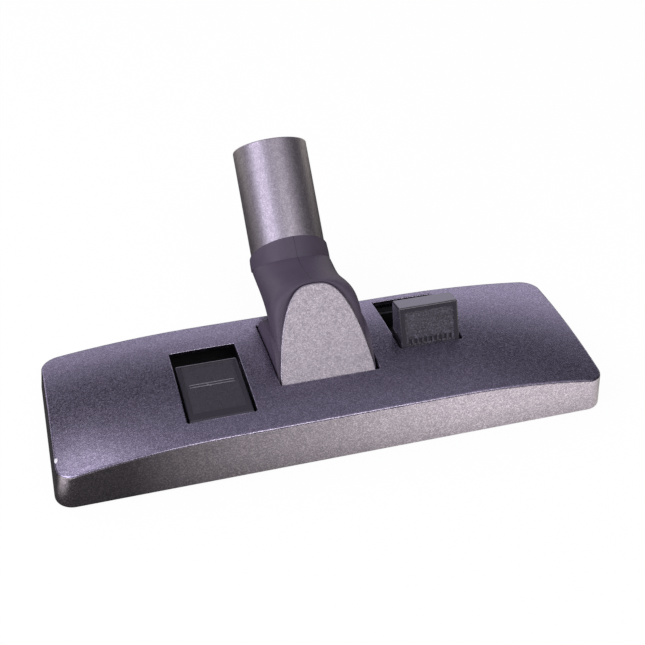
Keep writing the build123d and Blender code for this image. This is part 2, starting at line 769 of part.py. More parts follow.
with BuildPart() as neck_hollow:
    add(drum_solid(hollow_r, drum_half - neck_wall))
    add(neck_solid(neck_wall, face_back - neck_wall, throat_r))

with BuildPart() as neck:
    add(drum_solid(drum_r, drum_half))
    with BuildSketch(Plane(origin=neck_pivot + face_out * face_back, x_dir=(1, 0, 0), z_dir=face_out)):
        Rectangle(80, 80)
    extrude(amount=40, mode=Mode.SUBTRACT)
    add(neck_solid(0.0, face_back - seat_gap, ring_r))
    add(neck_hollow.part, mode=Mode.SUBTRACT)
    with BuildSketch(tube_plane.offset(-ridge_start)):
        Circle(ridge_r)
    extrude(amount=ridge_start + ridge_len)
    with BuildSketch(tube_plane.offset(ridge_len)):
        Circle(ridge_r)
    with BuildSketch(tube_plane.offset(rim_at)):
        Circle(rim_r)
    loft()
    with BuildSketch(tube_plane.offset(-ridge_start)):
        Circle(throat_r)
    extrude(amount=ridge_start + rim_at, mode=Mode.SUBTRACT)
    with BuildSketch(tube_plane.offset(groove_from)):
        Circle(groove_r)
    extrude(amount=groove_to - groove_from, mode=Mode.SUBTRACT)
    with BuildSketch(tube_plane.offset(groove_to)):
        Circle(sleeve_r)
    extrude(amount=rim_at, mode=Mode.SUBTRACT)
    # the collar's upper half runs on as a hood over the tube, with a slanted rim
    with BuildSketch(tube_plane.offset(skirt_at)):
        Circle(hood_bore_r)
    extrude(amount=rim_at, mode=Mode.SUBTRACT)
    with BuildSketch(Plane(origin=ring + Vector(40, 0, 0), x_dir=collar_up, z_dir=(-1, 0, 0))):
        lip = skirt_at + hood_lip
        Polygon(
            (-30, lip), (hood_from, lip), (25, lip + (25 - hood_from) * hood_slope), (25, 20), (-30, 20),
            align=None,
        )
    extrude(amount=80, mode=Mode.SUBTRACT)
    # open underside
    with BuildSketch(Plane.YZ.offset(-40)):
        Polygon(
            front_cut, rear_cut, (rear_cut[0], -30), (front_cut[0] - 10, -30),
            (front_cut[0] - 10, front_cut[1]), align=None,
        )
    extrude(amount=80, mode=Mode.SUBTRACT)
    # cheeks round the pivot and the pivot pins
    for side in (-1, 1):
        x0 = min(side * drum_half, side * (drum_half - neck_wall))
        with BuildSketch(Plane.YZ.offset(x0)):
            with Locations((pivot_y, pivot_z)):
                Circle(cheek_boss_r)
        extrude(amount=neck_wall)
        x0 = min(side * (drum_half - neck_wall), side * cheek_out)
        with BuildSketch(Plane.YZ.offset(x0)):
            with Locations((pivot_y, pivot_z)):
                Circle(pivot_pin_r)
        extrude(amount=cheek_out - drum_half + neck_wall)

for name, side in (("neck_left_shell", -1), ("neck_right_shell", 1)):
    with BuildPart() as shell:
        add(neck.part)
        with Locations((-side * 2 * drum_r, ring_y, ring_z)):
            Box(4 * drum_r, 8 * drum_r, 8 * drum_r, mode=Mode.SUBTRACT)
    save(shell.part, name)

# Painted plate on the neck's front
with BuildPart() as neck_front_plate:
    with BuildSketch(Plane(origin=neck_pivot + face_out * face_back, x_dir=(1, 0, 0), z_dir=face_out)):
        with BuildLine():
            arch = Spline(*arch_points(0.0, plate_foot))
            Line(arch @ 1, arch @ 0)
        make_face()
    extrude(amount=plate_thick)
    fillet(neck_front_plate.faces().sort_by(Axis(neck_pivot, face_out))[-1].edges(), 0.8)
save(neck_front_plate.part, "neck_front_plate")

# Bearing caps over the neck's pins
for name, side in (("neck_cap_left", -1), ("neck_cap_right", 1)):
    with BuildPart() as cap:
        x0 = min(side * cheek_in, side * cheek_out)
        with BuildSketch(Plane.YZ.offset(x0)):
            with Locations((pivot_y, pivot_z + cap_height / 2)):
                RectangleRounded(2 * cap_half, cap_height, 1.0)
            with Locations((pivot_y, pivot_z)):
                Circle(pivot_pin_r + running_fit, mode=Mode.SUBTRACT)
        extrude(amount=cheek_out - cheek_in)
        for edge in (-1, 1):
            with Locations((side * (cheek_in + cheek_out) / 2, pivot_y + edge * cap_screw_y, pivot_z)):
                Cylinder(cap_screw_r + press_fit, 4 * cap_height, mode=Mode.SUBTRACT)
    save(cap.part, name)

# Swivel tube
with BuildPart() as tube:
    with BuildSketch(tube_plane.offset(skirt_at + swivel_gap)):
        Circle(tube_r)
    extrude(amount=tube_end - skirt_at - swivel_gap)
    with BuildSketch(tube_plane.offset(groove_from + swivel_gap)):
        Circle(flange_r)
    extrude(amount=groove_to - groove_from - 2 * swivel_gap)
    with BuildSketch(tube_plane.offset(groove_from + swivel_gap)):
        Circle(spigot_r)
    extrude(amount=skirt_at - groove_from + 1)
    with BuildSketch(tube_plane):
        Circle(tube_throat_r)
    extrude(amount=tube_end, mode=Mode.SUBTRACT)
    with BuildSketch(tube_plane.offset(tube_end - socket_depth)):
        Circle(socket_r)
    extrude(amount=socket_depth, mode=Mode.SUBTRACT)
    mouth = tube.faces().sort_by(Axis(ring, tube_dir))[-1]
    fillet(mouth.outer_wire().edges(), 0.6)
save(tube.part, "tube")

# Screws
with BuildPart() as cover_screws:
    with BuildSketch(Plane.XY.offset(sole_thick - screw_head)):
        with Locations(*cover_screw_at):
            Circle(screw_head_r)
    extrude(amount=screw_head)
    with BuildSketch(Plane.XY.offset(sole_thick)):
        with Locations(*cover_screw_at):
            Circle(screw_r)
    extrude(amount=screw_length)
save(cover_screws.part, "cover_screws")

with BuildPart() as cap_screws:
    for side in (-1, 1):
        for edge in (-1, 1):
            x = side * (cheek_in + cheek_out) / 2
            y = pivot_y + edge * cap_screw_y
            with Locations((x, y, pivot_z + cap_height)):
                Cylinder(cap_head_r, 1.2, align=(Align.CENTER, Align.CENTER, Align.MIN))
            with Locations((x, y, pivot_z - cap_screw_length)):
                Cylinder(
                    cap_screw_r, cap_screw_length + cap_height, align=(Align.CENTER, Align.CENTER, Align.MIN)
                )
save(cap_screws.part, "cap_screws")
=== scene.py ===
"""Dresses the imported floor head: painted cover, glossy pedals, matt neck, bristles, wheels and studio."""

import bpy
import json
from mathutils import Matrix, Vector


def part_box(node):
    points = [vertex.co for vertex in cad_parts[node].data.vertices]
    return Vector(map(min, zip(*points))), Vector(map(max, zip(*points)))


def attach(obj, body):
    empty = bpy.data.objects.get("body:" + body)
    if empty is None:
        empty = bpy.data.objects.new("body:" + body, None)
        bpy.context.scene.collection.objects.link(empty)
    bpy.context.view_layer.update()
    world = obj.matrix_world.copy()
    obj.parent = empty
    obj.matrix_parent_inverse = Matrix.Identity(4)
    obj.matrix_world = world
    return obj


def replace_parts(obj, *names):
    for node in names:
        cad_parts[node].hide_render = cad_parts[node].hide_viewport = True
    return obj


bl_info = {
    "name": "Floor Head",
    "version": (1, 0, 0),
    "blender": (4, 5, 0),
    "location": "View3D > Sidebar > Floor Head",
    "description": "Finishes the pieces of a floor head and sets its studio",
    "category": "Object",
}

import json
import math

import bpy
import numpy as np
from bpy.props import FloatProperty, FloatVectorProperty, IntProperty, PointerProperty
from mathutils import Matrix

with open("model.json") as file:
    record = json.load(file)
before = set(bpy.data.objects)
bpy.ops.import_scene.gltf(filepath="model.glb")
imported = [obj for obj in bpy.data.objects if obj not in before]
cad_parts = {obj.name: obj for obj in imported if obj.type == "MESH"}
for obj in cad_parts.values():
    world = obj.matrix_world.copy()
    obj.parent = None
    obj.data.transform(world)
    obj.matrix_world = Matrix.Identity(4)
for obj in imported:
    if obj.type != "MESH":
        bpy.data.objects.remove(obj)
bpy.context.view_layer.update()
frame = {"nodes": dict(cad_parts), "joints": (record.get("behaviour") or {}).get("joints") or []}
nodes = frame["nodes"]
joint = {j["name"]: j for j in frame["joints"]}

# Pedal faces at rest, as in the solids: slopes in degrees, height over the shaft, depth of the sunken panel
LEFT_SLOPE = -4.9
RIGHT_SLOPE = 64.3
PEDAL_RISE = 0.010
PANEL_DEPTH = 0.0005

# Grain of a pedal's panel: heights over which it sets in below the rim and ends in the wells, width and depth of a
# grain, added roughness, brightness of a painted glint in the base colour, and strength of grain and painted glint on
# each pedal
PANEL_FROM = (-0.00042, -0.00038, 1.0, 0.0)
PANEL_TO = (-0.0009, -0.0007, 0.0, 1.0)
PANEL_GRAIN = 0.0004
PANEL_GRAIN_DEPTH = 0.00009
PANEL_ROUGH = 0.16
PANEL_PAINTED_GLINT = 5.0
LEFT_SPARKLE = 0.15
RIGHT_SPARKLE = 0.9

# Lines on the left pedal: place along the face, half length, the tick's two ends, points along and round a line, part
# of its length in which an end rises, lowest height of an end, and height in half widths
LINE_MIDDLE = 0.0203
LINE_REACH = 0.0108
TICK = ((-0.0028, 0.0006), (-0.0006, -0.0016))
LINE_POINTS = (12, 9)
LINE_RISE = 12
LINE_END = 0.25
LINE_HEIGHT = 1.1

# Coats: roughness and strength of the flakes
COVER_COAT = (0.27, 0.8)
PLATE_COAT = (0.46, 0.45)
TUBE_COAT = (0.46, 0.5)

# Flakes: contrast between them, spread of their roughness, depth in flake widths, and strength of their tilt
FLAKE_CONTRAST = 2.2
FLAKE_ROUGH = 0.05
FLAKE_DEPTH = 0.06
FLAKE_TILT = 0.35

# Widths of the clouds in a finish, and the range that most of a noise lies in
COAT_CLOUD = 0.004
PLASTIC_CLOUD = 0.006
PEDAL_CLOUD = 0.002
NECK_CLOUD = 0.005
HAIR_CLOUD = 0.003
CHIP_CLOUD = 0.0008
NOISE_RANGE = (0.3, 0.7)

# Plastic: strength of its grain; on the neck also the grain's width, its share of the height, and the seam's depth
GRAIN_STRENGTH = 0.6
NECK_GRAIN = 0.0007
NECK_GRAIN_SHARE = 0.08
SEAM_DEPTH = 0.00025

# Lines a metre in rolled steel, along the head and across it
STEEL_LINES = (60.0, 3000.0, 3000.0)

# Pile of the lint strips: width, depth and strength
PILE_WIDTH = 0.0004
PILE_DEPTH = 0.0004
PILE_STRENGTH = 0.9

# Hairs: radius, its part from root to tip, sides, spread of their lengths, spread of their lean along and across the
# row, gap to the row's sides, and width of a patch of one tone
HAIR_RADIUS = 0.00012
HAIR_TAPER = (1.0, 1.0, 0.95, 0.85, 0.3)
HAIR_SIDES = 3
HAIR_UNEVEN = 0.0005
HAIR_LEAN = (0.0004, 0.00012)
HAIR_GAP = 0.0001
HAIR_PATCH = 0.0012

# Wheels: radius of the bore and points round the axle
WHEEL_BORE = 0.00156
WHEEL_POINTS = 48

# Soft boxes: place, width and height, tone; and the place they look at
BOXES = {
    "left_box": ((-1.1, -0.32, 0.85), (1.25, 0.9), (0.88, 0.84, 1.0)),
    "right_box": ((0.75, -0.6, 0.8), (0.6, 0.6), (1.0, 0.95, 0.98)),
    "back_box": ((-0.51, 0.61, 1.02), (0.5, 0.5), (0.92, 0.87, 1.0)),
    "front_box": ((0.22, -1.03, 1.2), (0.85, 0.5), (1.0, 0.97, 0.97)),
}
AIM = (0.0, 0.02, 0.03)

# Floor: half width, gap below the sole, tone, and how far the camera sees it as plain white
FLOOR_HALF = 12.0
FLOOR_DROP = 0.0003
FLOOR_TONE = (0.95, 0.95, 0.95)
FLOOR_WHITE = 0.95

# Floor in gloss, glowing as painted pools of light: tone, then two places and the brightness at each, for its bright
# parts and for where those end
FLOOR_GLOSS = (1.0, 0.95, 0.84)
FLOOR_FRONT = (-0.1, 0.065, 0.05, 1.55)
FLOOR_FRONT_END = (-0.06, -0.02, 1.0, 0.0)
FLOOR_BEHIND = (0.23, 0.33, 0.05, 1.2)
FLOOR_LEFT = (-0.152, -0.14, 1.3, 0.0)
FLOOR_LEFT_END = (-0.046, -0.032, 1.0, 0.0)

# Room: tone; and in gloss its tone, its least brightness, then two values of the direction's Y or Z and the
# brightness at each
ROOM_TONE = (0.98, 0.97, 1.0)
ROOM_GLOSS = (0.86, 0.81, 1.0)
ROOM_LEAST = 0.02
ROOM_BEHIND = (0.3, 0.8, 0.0, 1.0)
ROOM_FRONT = (-0.8, -0.3, 0.2, 0.0)
ROOM_LOW = (0.24, 0.4, 1.0, 0.02)
ROOM_TOP = (0.52, 0.78, 0.0, 0.45)

# Camera: axes, from the fit to the head's outline, width of the sensor in mm, nearest and farthest distance seen
CAMERA_RIGHT = (0.96404, -0.26475, 0.02309)
CAMERA_UP = (0.1579, 0.64051, 0.75154)
CAMERA_BACK = (-0.21376, -0.72087, 0.65928)
SENSOR = 36.0
CLIP = (0.01, 50)


def colour(name, words, value):
    """A colour setting, linear, from 0 to 1."""
    return FloatVectorProperty(name=name, description=words, default=value, size=3, min=0, max=1, subtype="COLOR")


def power(name, words, value):
    """A lamp's power setting in watts."""
    return FloatProperty(name=name, description=words, default=value, unit="POWER")


def length(name, words, value):
    """A length setting in metres."""
    return FloatProperty(name=name, description=words, default=value, min=0, unit="LENGTH", precision=5)


class FloorHeadColours(bpy.types.PropertyGroup):
    cover: colour("Cover", "Coat of the cover", (0.275, 0.25, 0.325))
    cover_flake: colour("Cover flake", "Bright flakes in the cover's coat", (0.62, 0.58, 0.70))
    tube: colour("Tube", "Coat of the tube and of the neck's front plate", (0.34, 0.315, 0.345))
    tube_flake: colour("Tube flake", "Bright flakes in the tube's coat", (0.70, 0.65, 0.71))
    pedal: colour("Pedal", "Glossy plastic of the pedals", (0.028, 0.025, 0.033))
    # Line: lighter than the pedal, as painted highlight on the raised ridges
    line: colour("Line", "Raised lines on the left pedal", (0.16, 0.15, 0.18))
    neck: colour("Neck", "Matt plastic of the neck", (0.064, 0.048, 0.076))
    inner: colour("Inner plastic", "Moulded plastic inside and below", (0.018, 0.017, 0.019))
    steel: colour("Steel", "Sole, shafts, axles and screws", (0.56, 0.56, 0.57))
    bristle: colour("Bristles", "Hair of the brush", (0.03, 0.03, 0.032))
    lint: colour("Lint strip", "Pile of the two strips", (0.28, 0.03, 0.035))
    wheel: colour("Wheel", "Soft tread of the wheels", (0.035, 0.035, 0.037))
    chip: colour("Chip", "Bare spot where the coat is knocked off", (0.75, 0.74, 0.76))


class FloorHeadSizes(bpy.types.PropertyGroup):
    flake: length("Flake", "Width of a flake in the coats", 0.0004)
    chip_at: FloatVectorProperty(name="Chip place", description="Middle of the chip in the cover's edge",
                                 subtype="TRANSLATION", unit="LENGTH", default=(-0.1317, -0.0323, 0.0200))
    chip_half: FloatVectorProperty(name="Chip size", description="Half sizes of the chip", subtype="XYZ",
                                   unit="LENGTH", precision=5, default=(0.0009, 0.0016, 0.0009))
    seam: length("Seam", "Half width of the groove between the neck's halves", 0.00022)
    line_width: length("Line width", "Width of the raised lines on the left pedal", 0.0004)
    line_gap: length("Line gap", "Distance between the raised lines", 0.0018)
    tuft_pitch: length("Tuft pitch", "Distance between the tufts of the brush", 0.0030)
    tuft_radius: length("Tuft radius", "Radius of a tuft at its root", 0.00065)
    hairs: IntProperty(name="Hairs", description="Hairs in a tuft", default=9, min=3, max=40)


class FloorHeadStage(bpy.types.PropertyGroup):
    eye: FloatVectorProperty(name="Camera", description="Place of the camera", subtype="TRANSLATION", unit="LENGTH",
                             default=(-0.1130, -0.38138, 0.39575))
    lens: FloatProperty(name="Lens", description="Focal length, mm", default=61.96, min=10, max=300)
    left_box: power("Left box", "Power of the cool box on the left", 11.4)
    front_box: power("Front box", "Power of the box in front", 5.0)
    back_box: power("Back box", "Power of the box behind", 1.0)
    right_box: power("Right box", "Power of the box on the right", 0.5)
    room: FloatProperty(name="Room", description="Even light of the room", default=0.62, min=0, max=2)


def socket_name(words):
    """Name of a shader's socket from a keyword."""
    return words.replace("_", " ").title().replace("Ior", "IOR")


def shade(tone, factor):
    """A tone made darker or lighter, no lighter than white."""
    return [min(c * factor, 1.0) for c in tone]


class Nodes:
    """A node tree under construction."""

    def __init__(self, tree):
        self.tree = tree

    def add(self, kind, links=(), values=(), **settings):
        """A new node with its settings, values and links; returns its outputs."""
        made = self.tree.nodes.new("ShaderNode" + kind)
        for key, value in settings.items():
            setattr(made, key, value)
        for key, value in dict(values).items():
            made.inputs[key].default_value = value
        for key, value in dict(links).items():
            self.tree.links.new(value, made.inputs[key])
        return made.outputs

    def math(self, operation, a, b):
        """Result of an operation on two values; each is a number or a socket."""
        result = self.add("Math", operation=operation)["Value"]
        for pin, value in zip(result.node.inputs, (a, b)):
            if isinstance(value, (int, float)):
                pin.default_value = value
            else:
                self.tree.links.new(value, pin)
        return result

    def span(self, value, from_low, from_high, to_low, to_high):
        """Maps one range on another, clamped."""
        return self.add("MapRange", {"Value": value}, {
            "From Min": from_low, "From Max": from_high, "To Min": to_low, "To Max": to_high})["Result"]

    def vary(self, noise, low, high):
        """Spreads a noise over a range."""
        return self.span(noise, *NOISE_RANGE, low, high)


class Finish(Nodes):
    """A material under construction."""

    def __init__(self, name, base, **values):
        self.material = bpy.data.materials.new(name)
        self.material.use_nodes = True
        super().__init__(self.material.node_tree)
        self.shader = self.tree.nodes["Principled BSDF"]
        self.shader.inputs["Base Color"].default_value = (*base, 1)
        self.material.diffuse_color = (*base, 1)
        for socket, value in values.items():
            self.shader.inputs[socket_name(socket)].default_value = value

    def place(self):
        """Place on the piece, in metres."""
        return self.add("TexCoord")["Object"]

    def noise(self, size, detail=2.0):
        """Cloudy pattern of a given size, from 0 to 1."""
        return self.add("TexNoise", {"Vector": self.place()}, {"Scale": 1 / size, "Detail": detail})["Fac"]

    def speckle(self, size):
        """A random value, from 0 to 1, for each grain of a given size."""
        cells = self.add("TexVoronoi", {"Vector": self.place()}, {"Scale": 1 / size})
        return self.add("SeparateColor", {"Color": cells["Color"]})["Red"]

    def mix(self, factor, a, b):
        """Colour between a and b; each is a colour or a socket."""
        made = self.add("Mix", {"Factor": factor}, data_type="RGBA")["Result"].node
        for socket, value in (("A", a), ("B", b)):
            pins = [i for i in made.inputs if i.name == socket and i.type == "RGBA"]
            if hasattr(value, "links"):
                self.tree.links.new(value, pins[0])
            else:
                pins[0].default_value = (*value, 1)
        return [o for o in made.outputs if o.type == "RGBA"][0]

    def along(self, direction):
        """Distance of the place along a direction, in metres."""
        made = self.add("VectorMath", {0: self.place()}, {1: direction}, operation="DOT_PRODUCT")
        return made["Value"]

    def bump(self, height, depth, strength):
        """Normal of a surface raised by a height from 0 to 1, of a given depth in metres."""
        made = self.add("Bump", {"Height": height}, {"Strength": strength, "Distance": depth})
        return made["Normal"]

    def set(self, **sockets):
        """Links values to the shader."""
        for socket, value in sockets.items():
            self.tree.links.new(value, self.shader.inputs[socket_name(socket)])


def flake_coat(name, base, flake, size, kind):
    """Metallic coat: bright grains scattered over a cloudy ground."""
    roughness, sparkle = kind
    coat = Finish(name, base, metallic=1.0, roughness=roughness)
    grain = coat.math("POWER", coat.speckle(size), FLAKE_CONTRAST)
    ground = coat.mix(coat.vary(coat.noise(COAT_CLOUD), 0.0, 1.0), shade(base, 0.9), shade(base, 1.02))
    tint = coat.mix(coat.span(grain, 0.0, 1.0, 0.0, sparkle), ground, flake)
    rough = coat.span(coat.speckle(size * 1.7), 0.0, 1.0, roughness - FLAKE_ROUGH, roughness + FLAKE_ROUGH)
    normal = coat.bump(coat.speckle(size * 1.3), size * FLAKE_DEPTH, FLAKE_TILT * sparkle)
    coat.set(base_color=tint, roughness=rough, normal=normal)
    return coat


def moulded(name, base, roughness, grain=0.0006, depth=0.00003, **values):
    """Moulded plastic: fine grain in its height, tone and gloss."""
    plastic = Finish(name, base, roughness=roughness, **values)
    field = plastic.noise(grain, 3.0)
    tint = plastic.mix(plastic.noise(PLASTIC_CLOUD), shade(base, 0.88), shade(base, 1.12))
    plastic.set(base_color=tint, normal=plastic.bump(field, depth, GRAIN_STRENGTH),
                roughness=plastic.vary(field, roughness - 0.05, roughness + 0.06))
    return plastic.material


def drawn_steel(name, base):
    """Rolled steel: fine lines along the head in its tone and gloss."""
    steel = Finish(name, base, metallic=1.0, roughness=0.35)
    stretched = steel.add("Mapping", {"Vector": steel.place()}, {"Scale": STEEL_LINES})["Vector"]
    lines = steel.add("TexNoise", {"Vector": stretched}, {"Scale": 1.0, "Detail": 3.0})["Fac"]
    tint = steel.mix(lines, shade(base, 0.8), shade(base, 1.15))
    steel.set(base_color=tint, roughness=steel.vary(lines, 0.26, 0.46))
    return steel.material


def give(material, *names):
    """Puts a material on CAD nodes."""
    for name in names:
        mesh = nodes[name].data
        mesh.materials.clear()
        mesh.materials.append(material)


def grid_faces(rows, columns, closed_rows=False, closed_columns=False):
    """Quads of a grid of points numbered row by row; closed ways join their last line to the first."""
    r = np.arange(rows if closed_rows else rows - 1)[:, None]
    c = np.arange(columns if closed_columns else columns - 1)[None, :]
    r1, c1 = (r + 1) % rows, (c + 1) % columns
    quads = np.stack([r * columns + c, r * columns + c1, r1 * columns + c1, r1 * columns + c], axis=-1)
    return quads.reshape(-1, 4)


def piece(name, points, faces, material, body, smooth=True):
    """A mesh piece from arrays of points and quads, riding on a body."""
    mesh = bpy.data.meshes.new(name)
    mesh.from_pydata(points.reshape(-1, 3).tolist(), [], faces.tolist())
    mesh.materials.append(material)
    mesh.polygons.foreach_set("use_smooth", np.full(len(mesh.polygons), smooth))
    mesh.update()
    made = bpy.data.objects.new(name, mesh)
    bpy.context.scene.collection.objects.link(made)
    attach(made, body)
    return made


def many(points, faces):
    """Repeats one grid's faces for a stack of grids: points are (copies, points of a grid, 3)."""
    shift = np.arange(points.shape[0])[:, None, None] * points.shape[1]
    return points.reshape(-1, 3), (faces[None] + shift).reshape(-1, faces.shape[1])


def pedal_frame(node, turn, slope, rise):
    """Origin on a pedal's face over its shaft, the way along the face and the way out of it."""
    a = math.radians(slope)
    along = np.array([0.0, math.cos(a), math.sin(a)])
    out = np.array([0.0, -math.sin(a), math.cos(a)])
    low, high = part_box(node)
    shaft = np.array(joint[turn]["pos_m"])
    middle = np.array([(low[0] + high[0]) / 2, shaft[1], shaft[2]])
    return middle + out * rise, along, out


class FLOORHEAD_OT_cover(bpy.types.Operator):
    """Coat of the cover, with one chip near its front left corner"""
    bl_idname = "floorhead.cover"
    bl_label = "Cover"

    def execute(self, context):
        tones, sizes = context.scene.floor_head_colours, context.scene.floor_head_sizes
        coat = flake_coat("cover_coat", tones.cover, tones.cover_flake, sizes.flake, COVER_COAT)
        self.chip(coat, tones.chip, sizes)
        give(coat.material, "top_cover")
        return {"FINISHED"}

    def chip(self, coat, bare, sizes):
        """Bare pale spot: an egg about the chip's place with a ragged rim."""
        away = coat.add("VectorMath", {0: coat.place()}, {1: sizes.chip_at}, operation="SUBTRACT")["Vector"]
        unit = coat.add("VectorMath", {0: away}, {1: sizes.chip_half}, operation="DIVIDE")["Vector"]
        reach = coat.add("VectorMath", {0: unit}, operation="LENGTH")["Value"]
        ragged = coat.math("ADD", reach, coat.vary(coat.noise(CHIP_CLOUD), -0.3, 0.3))
        spot = coat.span(ragged, 0.85, 1.0, 1.0, 0.0)
        under = coat.shader.inputs["Base Color"].links[0].from_socket
        coat.set(base_color=coat.mix(spot, under, bare), metallic=coat.math("SUBTRACT", 1.0, spot))


class FLOORHEAD_OT_pedals(bpy.types.Operator):
    """Glossy pedals with grained panels and painted glints, and the raised lines on the left one, lighter as painted
    highlight
    """
    bl_idname = "floorhead.pedals"
    bl_label = "Pedals"

    def execute(self, context):
        tones, sizes = context.scene.floor_head_colours, context.scene.floor_head_sizes
        for node, turn, slope, sparkle in (("left_pedal", "left_pedal_turn", LEFT_SLOPE, LEFT_SPARKLE),
                                           ("right_pedal", "right_pedal_turn", RIGHT_SLOPE, RIGHT_SPARKLE)):
            origin, _, out = pedal_frame(node, turn, slope, PEDAL_RISE)
            gloss = Finish(node + "_gloss", tones.pedal, roughness=0.14, specular_ior_level=0.7, coat_weight=0.6,
                           coat_roughness=0.06)
            depth = gloss.math("SUBTRACT", gloss.along(out), float(origin @ out))
            panel = gloss.math("MULTIPLY", gloss.span(depth, *PANEL_FROM),
                               gloss.span(depth, *PANEL_TO))
            grain = gloss.speckle(PANEL_GRAIN)
            height = gloss.math("MULTIPLY", grain, panel)
            rough = gloss.math("ADD", gloss.vary(gloss.noise(PEDAL_CLOUD), 0.1, 0.17),
                               gloss.math("MULTIPLY", panel, PANEL_ROUGH))
            # Painted glints: the panel's grains get a lighter base colour, much stronger on the right pedal than on
            # the left
            glint = gloss.math("MULTIPLY", panel, gloss.span(grain, 0.4, 1.0, 0.0, sparkle))
            tint = gloss.mix(glint, tones.pedal, shade(tones.pedal, PANEL_PAINTED_GLINT))
            gloss.set(base_color=tint, roughness=rough, normal=gloss.bump(height, PANEL_GRAIN_DEPTH, sparkle))
            give(gloss.material, node)
        self.lines(tones, sizes)
        return {"FINISHED"}

    def lines(self, tones, sizes):
        """Half-round ridges on the panel, w the line's half width, s along it and a over it:

        p(s, a) = run(s) + w cos(a) side + 1.1 w swell(s) sin(a) out, where swell falls towards both ends.
        """
        origin, along, out = pedal_frame("left_pedal", "left_pedal_turn", LEFT_SLOPE, PEDAL_RISE - PANEL_DEPTH)
        across = np.array([1.0, 0.0, 0.0])
        half = sizes.line_gap / 2
        runs = np.array([
            [[-LINE_REACH, -half], [LINE_REACH, -half]],
            [[-LINE_REACH, half], [LINE_REACH, half]],
            TICK,
        ]) + (0.0, LINE_MIDDLE)
        w = sizes.line_width / 2
        way = runs[:, 1] - runs[:, 0]
        way /= np.linalg.norm(way, axis=1, keepdims=True)
        side = np.stack([-way[:, 1], way[:, 0]], axis=1)
        reach = np.linspace(0, 1, LINE_POINTS[0])
        arc = np.linspace(0, np.pi, LINE_POINTS[1])
        path = runs[:, None, 0] + (runs[:, 1] - runs[:, 0])[:, None] * reach[None, :, None]
        swell = np.clip(np.minimum(reach, 1 - reach) * LINE_RISE, LINE_END, 1.0)
        flat = path[:, :, None] + side[:, None, None] * (np.cos(arc) * w)[None, None, :, None]
        up = np.sin(arc)[None, None] * (swell * w * LINE_HEIGHT)[None, :, None] * np.ones((len(runs), 1, 1))
        points = origin + flat[..., :1] * across + flat[..., 1:] * along + up[..., None] * out
        points, faces = many(points.reshape(len(runs), -1, 3), grid_faces(len(reach), len(arc))[:, ::-1])
        # Lighter plastic on the ridges: painted highlight
        pale = moulded("line_gloss", tones.line, 0.25, 0.0003, 0.00001, specular_ior_level=0.8)
        piece("left_pedal_lines", points, faces, pale, "left_pedal")


class FLOORHEAD_OT_neck(bpy.types.Operator):
    """Matt neck with a seam between its halves, darkened in its groove as painted shade, and its coated front plate
    """
    bl_idname = "floorhead.neck"
    bl_label = "Neck"

    def execute(self, context):
        tones, sizes = context.scene.floor_head_colours, context.scene.floor_head_sizes
        matt = Finish("neck_matt", tones.neck, roughness=0.55)
        across = matt.math("ABSOLUTE", matt.along((1, 0, 0)), 0.0)
        groove = matt.span(across, 0.0, sizes.seam, 0.0, 1.0)
        field = matt.noise(NECK_GRAIN, 3.0)
        ground = matt.mix(matt.noise(NECK_CLOUD), shade(tones.neck, 0.9), shade(tones.neck, 1.12))
        height = matt.math("ADD", matt.math("MULTIPLY", field, NECK_GRAIN_SHARE), groove)
        # Darker towards the middle of the seam's groove: painted shade
        matt.set(base_color=matt.mix(groove, shade(tones.neck, 0.3), ground),
                 normal=matt.bump(height, SEAM_DEPTH, GRAIN_STRENGTH), roughness=matt.vary(field, 0.48, 0.62))
        give(matt.material, "neck_left_shell", "neck_right_shell")
        coat = flake_coat("plate_coat", tones.tube, tones.tube_flake, sizes.flake, PLATE_COAT)
        give(coat.material, "neck_front_plate")
        give(moulded("cap_plastic", tones.inner, 0.5), "neck_cap_left", "neck_cap_right")
        return {"FINISHED"}


class FLOORHEAD_OT_tube(bpy.types.Operator):
    """Coated swivel tube"""
    bl_idname = "floorhead.tube"
    bl_label = "Tube"

    def execute(self, context):
        tones, sizes = context.scene.floor_head_colours, context.scene.floor_head_sizes
        give(flake_coat("tube_coat", tones.tube, tones.tube_flake, sizes.flake, TUBE_COAT).material, "tube")
        return {"FINISHED"}


